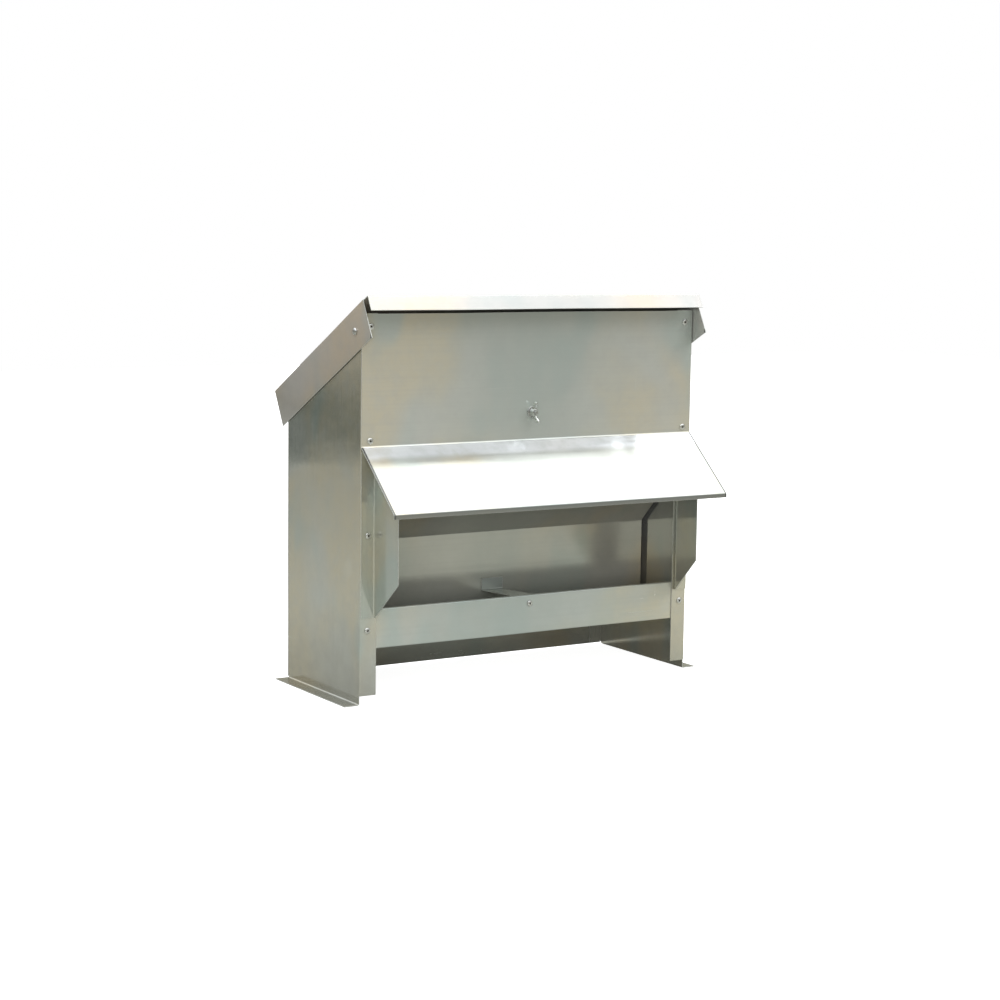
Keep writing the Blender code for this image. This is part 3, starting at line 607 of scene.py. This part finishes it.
FLOOR_SIZE = 12.0
GROUND_SIZE = 5.0
WHITE = (1.0, 1.0, 1.0, 1.0)
ZENITH = (2.25, 2.28, 2.30, 1.0)
SKY = (1.39, 1.44, 1.50, 1.0)
HORIZON = (0.285, 0.29, 0.25, 1.0)
GROUND = (0.42, 0.42, 0.37, 1.0)
FAR_HEDGE = (0.055, 0.075, 0.06, 1.0)       # the dark band low down behind the object, left of it
OVER_HEDGE = (0.37, 0.355, 0.315, 1.0)
HEDGE_WAY = (-0.53, 0.85, 0.0)
EARTH_NEAR = (0.28, 0.285, 0.255, 1.0)
EARTH_FAR = (0.21, 0.21, 0.18, 1.0)
GROUND_LIGHT_POOL = (0.50, 0.50, 0.45, 1.0)
LIGHT_POOL_SPOT = (0.12, 0.32, 0.0)             # middle of a painted pool of light on the ground, behind and under the object


def flat_card(name, size, height):
    mesh = bpy.data.meshes.new(name)
    bm = bmesh.new()
    bmesh.ops.create_grid(bm, x_segments=1, y_segments=1, size=size / 2.0)
    bm.to_mesh(mesh)
    bm.free()
    card = bpy.data.objects.new(name, mesh)
    card.location = (0.0, 0.0, height)
    bpy.context.scene.collection.objects.link(card)
    return card


def floor_and_ground():
    """A pale floor, and a duller ground that only the metal reflects, with a painted pool of light under the
    object.
    """
    floor = flat_card("floor", FLOOR_SIZE, -0.0005)
    paper, n = new_material("floor")
    n.principled(
        Base_Color=(0.5, 0.5, 0.5, 1.0), Roughness=0.9, Emission_Color=WHITE, Emission_Strength=0.93)
    floor.data.materials.append(paper)
    floor.visible_glossy = False
    floor.visible_diffuse = False
    floor.visible_shadow = False
    ground = flat_card("ground", GROUND_SIZE, -0.0010)
    earth, n = new_material("ground")
    place = n.add("NewGeometry").outputs["Position"]
    from_middle = n.from_point("DISTANCE", place, (0.0, 0.0, 0.0))
    from_spot = n.from_point("DISTANCE", place, LIGHT_POOL_SPOT)
    dull = n.mixed(n.ranged(from_middle, 0.4, 2.4), EARTH_NEAR, EARTH_FAR)
    # Painted light: the ground is painted brighter round the spot under the object.
    colour = n.mixed(n.ranged(from_spot, 0.15, 0.42, 1.0, 0.0), dull, GROUND_LIGHT_POOL)
    n.principled(Base_Color=colour, Roughness=1.0)
    ground.data.materials.append(earth)
    ground.visible_camera = False
    ground.visible_diffuse = False
    ground.visible_shadow = False


def add_sky():
    """White behind the object; for the light, a bright sky over a dull horizon with a dark band behind."""
    world = bpy.data.worlds.new("studio")
    bpy.context.scene.world = world
    n = Nodes(world)
    direction = n.add("TexCoord").outputs["Generated"]
    up = n.add("SeparateXYZ", Vector=direction).outputs["Z"]
    overhead = n.mixed(n.ranged(up, 0.64, 0.80), SKY, ZENITH)
    above = n.mixed(n.ranged(up, 0.20, 0.58), HORIZON, overhead)
    around = n.mixed(n.ranged(up, -0.14, -0.01), GROUND, above)
    behind = n.ranged(n.from_point("DOT_PRODUCT", direction, HEDGE_WAY), 0.6, 0.85, 0.0, 0.95)
    band = n.math("MULTIPLY", n.ranged(up, -0.118, -0.098), n.ranged(up, -0.069, -0.060, 1.0, 0.0))
    over_band = n.math("MULTIPLY", n.ranged(up, -0.066, -0.056), n.ranged(up, 0.05, 0.20, 1.0, 0.0))
    glowing = n.mixed(n.math("MULTIPLY", over_band, behind), around, OVER_HEDGE)
    darkened = n.mixed(n.math("MULTIPLY", band, behind), glowing, FAR_HEDGE)
    seen = n.add("LightPath").outputs["Is Camera Ray"]
    colour = n.mixed(seen, darkened, WHITE)
    n.add("OutputWorld", Surface=n.add("Background", Color=colour, Strength=1.0).outputs[0])


def add_softbox(name, place, target, size, power):
    data = bpy.data.lights.new(name, "AREA")
    data.shape = "RECTANGLE"
    data.size, data.size_y = size
    data.energy = power
    light = bpy.data.objects.new(name, data)
    light.location = place
    light.rotation_euler = (Vector(target) - Vector(place)).to_track_quat("-Z", "Y").to_euler()
    light.visible_glossy = False
    bpy.context.scene.collection.objects.link(light)


add_camera()
floor_and_ground()
add_sky()
add_softbox("key", (1.6, -1.3, 2.1), (0.0, 0.0, 0.25), (1.8, 1.4), 60.0)
add_softbox("fill", (-1.5, -2.3, 0.45), (0.05, 0.05, 0.15), (1.6, 0.8), 36.0)
bpy.context.scene.view_settings.view_transform = "Standard"
